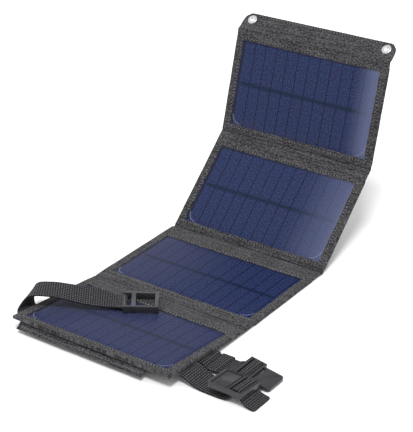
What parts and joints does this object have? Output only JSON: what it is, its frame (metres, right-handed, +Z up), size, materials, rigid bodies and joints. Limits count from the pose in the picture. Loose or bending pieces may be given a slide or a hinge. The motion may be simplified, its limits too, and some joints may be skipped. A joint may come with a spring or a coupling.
{
  "type": "folding solar charger",
  "caption": "Folding fabric-covered solar charger, standing open in a curve, with a hanging tab with eyelets, a pocket with an output box and webbing straps with a ring and buckles.",
  "frame": {"origin": "middle of the underside of the second panel, the one that lies flat on the ground", "axes": "+Z up, +X across the strip to the right as seen from the front, +Y from the base panel towards the standing top panel"},
  "size_m": [0.2562, 0.3637, 0.1826],
  "materials": {
    "pack_cloth": "woven polyester",
    "webbing": "ribbed webbing",
    "cell_face": "laminated solar cells",
    "stiffener": "rigid sheet",
    "buckle_plastic": "moulded plastic",
    "eyelet_metal": "bright nickel",
    "lead_copper": "tinned copper ribbon",
    "box_plastic": "moulded plastic",
    "board_green": "glass fibre board",
    "port_metal": "plated steel",
    "port_tongue": "moulded plastic",
    "light_lens": "clear light pipe",
    "fastener_tape": "hook and loop tape"
  },
  "bodies": {
    "base_panel": {"solar_module_1": "cell_face", "stiffener_board_1": "stiffener", "front_cover_1": "pack_cloth", "back_cover_1": "pack_cloth", "link_leads_1": "lead_copper", "fold_band_1_front": "pack_cloth", "pocket": "pack_cloth", "pocket_loop_strip": "fastener_tape", "output_box_base": "box_plastic", "output_box_lid": "box_plastic", "circuit_board": "board_green", "usb_shell": "port_metal", "usb_tongue": "port_tongue", "charge_light": "light_lens", "output_leads": "lead_copper", "strap_base_left": "webbing", "strap_base_near": "webbing", "strap_base_far": "webbing"},
    "second_panel": {"solar_module_2": "cell_face", "stiffener_board_2": "stiffener", "front_cover_2": "pack_cloth", "back_cover_2": "pack_cloth", "link_leads_2": "lead_copper", "fold_band_1_back": "pack_cloth", "fold_band_2": "pack_cloth"},
    "third_panel": {"solar_module_3": "cell_face", "stiffener_board_3": "stiffener", "front_cover_3": "pack_cloth", "back_cover_3": "pack_cloth", "link_leads_3": "lead_copper", "fold_band_3": "pack_cloth"},
    "top_panel": {"solar_module_4": "cell_face", "stiffener_board_4": "stiffener", "front_cover_4": "pack_cloth", "back_cover_4": "pack_cloth", "link_leads_4": "lead_copper", "tab_band": "pack_cloth"},
    "tab": {"hang_tab": "pack_cloth", "eyelets": "eyelet_metal", "eyelet_washers": "eyelet_metal"},
    "flap": {"pocket_flap": "pack_cloth", "flap_hook_strip": "fastener_tape"},
    "left_strap": {"ring_strap": "webbing", "ring_strap_loop": "webbing"},
    "ring": {"strap_ring": "buckle_plastic"},
    "front_right_strap": {"near_strap": "webbing"},
    "catch_buckle": {"near_buckle": "buckle_plastic", "near_strap_tail": "webbing"},
    "rear_right_strap": {"far_strap": "webbing"},
    "keeper": {"far_keeper": "webbing"},
    "hook_buckle": {"far_buckle": "buckle_plastic", "far_strap_loop": "webbing"}
  },
  "joints": [
    {"name": "fold_1", "type": "hinge", "parent": "base_panel", "child": "second_panel", "pos_m": [0, -0.0565, 0.0119], "axis": [1, 0, 0], "range_deg": [-12, 173]},
    {"name": "fold_2", "type": "hinge", "parent": "second_panel", "child": "third_panel", "pos_m": [0, 0.0656, -0.0008], "axis": [-1, 0, 0], "range_deg": [-24, 219]},
    {"name": "fold_3", "type": "hinge", "parent": "third_panel", "child": "top_panel", "pos_m": [0, 0.14349, 0.07513], "axis": [1, 0, 0], "range_deg": [-50, 147]},
    {"name": "tab_fold", "type": "hinge", "parent": "top_panel", "child": "tab", "pos_m": [0, 0.17694, 0.17038], "axis": [1, 0, 0], "range_deg": [-50, 45]},
    {"name": "flap_lift", "type": "hinge", "parent": "base_panel", "child": "flap", "pos_m": [0, -0.16238, 0.00996], "axis": [-1, 0, 0], "range_deg": [-30, 33]},
    {"name": "ring_strap_swing", "type": "hinge", "parent": "base_panel", "child": "left_strap", "pos_m": [-0.0875, -0.14407, 0.00813], "axis": [0, -0.9945, 0.1045], "range_deg": [0, 95]},
    {"name": "ring_turn", "type": "hinge", "parent": "left_strap", "child": "ring", "pos_m": [-0.024, -0.08915, 0.0103], "axis": [0.6018, -0.7943, 0.0835], "range_deg": [0, 100]},
    {"name": "front_strap_swing", "type": "hinge", "parent": "base_panel", "child": "front_right_strap", "pos_m": [0.0873, -0.1425, 0.0077], "axis": [0, 1, 0], "range_deg": [-88, 60]},
    {"name": "catch_buckle_flop", "type": "hinge", "parent": "front_right_strap", "child": "catch_buckle", "pos_m": [0.1335, -0.1425, 0.0035], "axis": [0, 1, 0], "range_deg": [-11, 90]},
    {"name": "rear_strap_swing", "type": "hinge", "parent": "base_panel", "child": "rear_right_strap", "pos_m": [0.0873, -0.114, 0.0047], "axis": [0, 1, 0], "range_deg": [-88, 60]},
    {"name": "keeper_slide", "type": "slide", "parent": "rear_right_strap", "child": "keeper", "axis": [1, 0, 0], "range_m": [0, 0.005]},
    {"name": "hook_buckle_flop", "type": "hinge", "parent": "rear_right_strap", "child": "hook_buckle", "pos_m": [0.1146, -0.114, 0.0045], "axis": [0, 1, 0], "range_deg": [-90, 22]}
  ]
}
